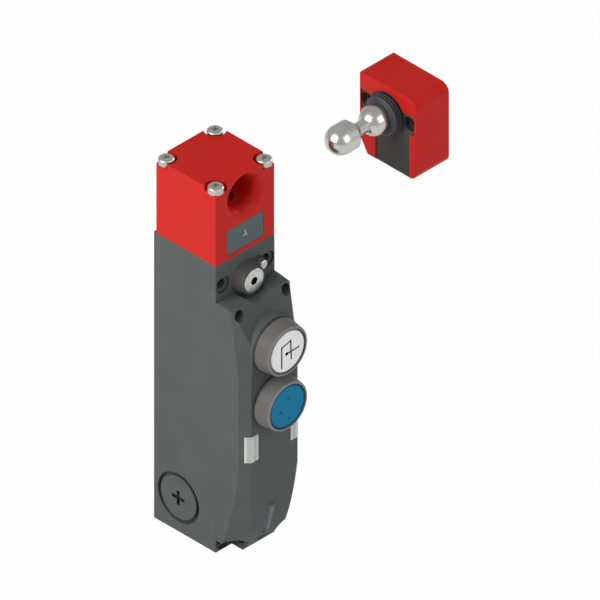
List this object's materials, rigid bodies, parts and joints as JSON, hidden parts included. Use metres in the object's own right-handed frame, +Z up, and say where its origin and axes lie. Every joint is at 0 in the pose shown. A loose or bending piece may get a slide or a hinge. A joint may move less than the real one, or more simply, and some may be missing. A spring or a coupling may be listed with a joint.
{
  "type": "tongue interlock switch",
  "caption": "Guard-locking interlock switch: long body, turnable red head with flared bore, push buttons, indicator windows, and a separate actuator with a swivelling pin",
  "frame": {"origin": "centre of the four mounting holes, on the back face", "axes": "+X to the right, +Y to the back into the mounting surface, +Z up; the buttons face -Y and the head is on top"},
  "size_m": [0.1397, 0.0712, 0.2154],
  "materials": {
    "board_green": "solder mask",
    "body_grey": "satin, lightly grained glass-filled plastic",
    "boot_rubber": "matt",
    "bronze": "sintered",
    "cap_grey": "satin",
    "collar_taupe": "satin",
    "core_dark": "satin",
    "cover_grey": "satin, lightly grained",
    "disc_blue": "semi-gloss",
    "disc_white": "semi-gloss",
    "ferrite_dark": "matt",
    "head_red": "semi-gloss",
    "nickel": "satin nickel",
    "pin_steel": "turned and polished",
    "plate_grey": "satin",
    "relay_black": "satin",
    "screw_steel": "zinc plated",
    "seal_rubber": "matt",
    "spring_steel": "drawn wire",
    "steel": "machined",
    "terminal_grey": "satin",
    "winding_copper": "taped enamelled wire",
    "window_milky": "frosted"
  },
  "bodies": {
    "switch": {"bolt_guide_bush": "bronze", "bore_sleeve": "head_red", "circuit_board": "board_green", "cover_screws": "screw_steel", "cover_seal": "seal_rubber", "entry_plug_left": "cover_grey", "entry_plug_right": "cover_grey", "entry_seal_left": "seal_rubber", "entry_seal_right": "seal_rubber", "front_cover": "cover_grey", "head": "head_red", "head_plate": "plate_grey", "head_screws": "screw_steel", "head_seal": "seal_rubber", "housing": "body_grey", "indicator_window_left": "window_milky", "indicator_window_right": "window_milky", "lock_spring": "spring_steel", "lower_button_collar": "collar_taupe", "lower_button_spring": "spring_steel", "lower_collar_gasket": "seal_rubber", "lower_collar_nut": "cover_grey", "lower_contact_block": "relay_black", "reader_antenna": "ferrite_dark", "release_boss": "collar_taupe", "release_seal_screw": "screw_steel", "safety_relays": "relay_black", "solenoid_coil": "winding_copper", "solenoid_yoke": "steel", "terminal_block": "terminal_grey", "terminal_screws": "screw_steel", "upper_button_collar": "collar_taupe", "upper_button_spring": "spring_steel", "upper_collar_gasket": "seal_rubber", "upper_collar_nut": "cover_grey", "upper_contact_block": "relay_black"},
    "white_button": {"upper_button_cap": "cap_grey", "upper_button_disc": "disc_white"},
    "blue_button": {"lower_button_cap": "cap_grey", "lower_button_disc": "disc_blue"},
    "lock_slide": {"lock_bolt": "steel", "solenoid_plunger": "steel"},
    "release": {"release_rotor": "nickel"},
    "actuator": {"actuator_shell": "head_red", "actuator_core": "core_dark", "actuator_boot": "boot_rubber", "actuator_backplate": "core_dark", "backplate_screws": "screw_steel", "transponder": "relay_black"},
    "actuator_tongue": {"actuator_pin": "pin_steel", "actuator_pin_nut": "nickel"}
  },
  "joints": [
    {"name": "white_button_press", "type": "slide", "parent": "switch", "child": "white_button", "axis": [0, 1, 0], "range_m": [0, 0.0025], "stiffness_N_per_m": 600, "springref_m": -0.002, "deforming": ["upper_button_spring"]},
    {"name": "blue_button_press", "type": "slide", "parent": "switch", "child": "blue_button", "axis": [0, 1, 0], "range_m": [0, 0.0025], "stiffness_N_per_m": 600, "springref_m": -0.002, "deforming": ["lower_button_spring"]},
    {"name": "bolt_lift", "type": "slide", "parent": "switch", "child": "lock_slide", "axis": [0, 0, 1], "range_m": [0, 0.005], "stiffness_N_per_m": 400, "springref_m": -0.004, "deforming": ["lock_spring"]},
    {"name": "release_turn", "type": "hinge", "parent": "switch", "child": "release", "pos_m": [0, -0.048, 0.073], "axis": [0, 1, 0], "range_deg": [0, 180]},
    {"name": "guard_swing", "type": "hinge", "parent": "switch", "child": "actuator", "pos_m": [0.02745, -0.0145, 0.1205], "axis": [0, 0, 1], "range_deg": [-90, 0]},
    {"name": "pin_swivel", "type": "hinge", "parent": "actuator", "child": "actuator_tongue", "pos_m": [0.08785, -0.04195, 0.1205], "axis": [0, 0, 1], "range_deg": [-5, 5], "stiffness_Nm_per_rad": 0.5}
  ]
}
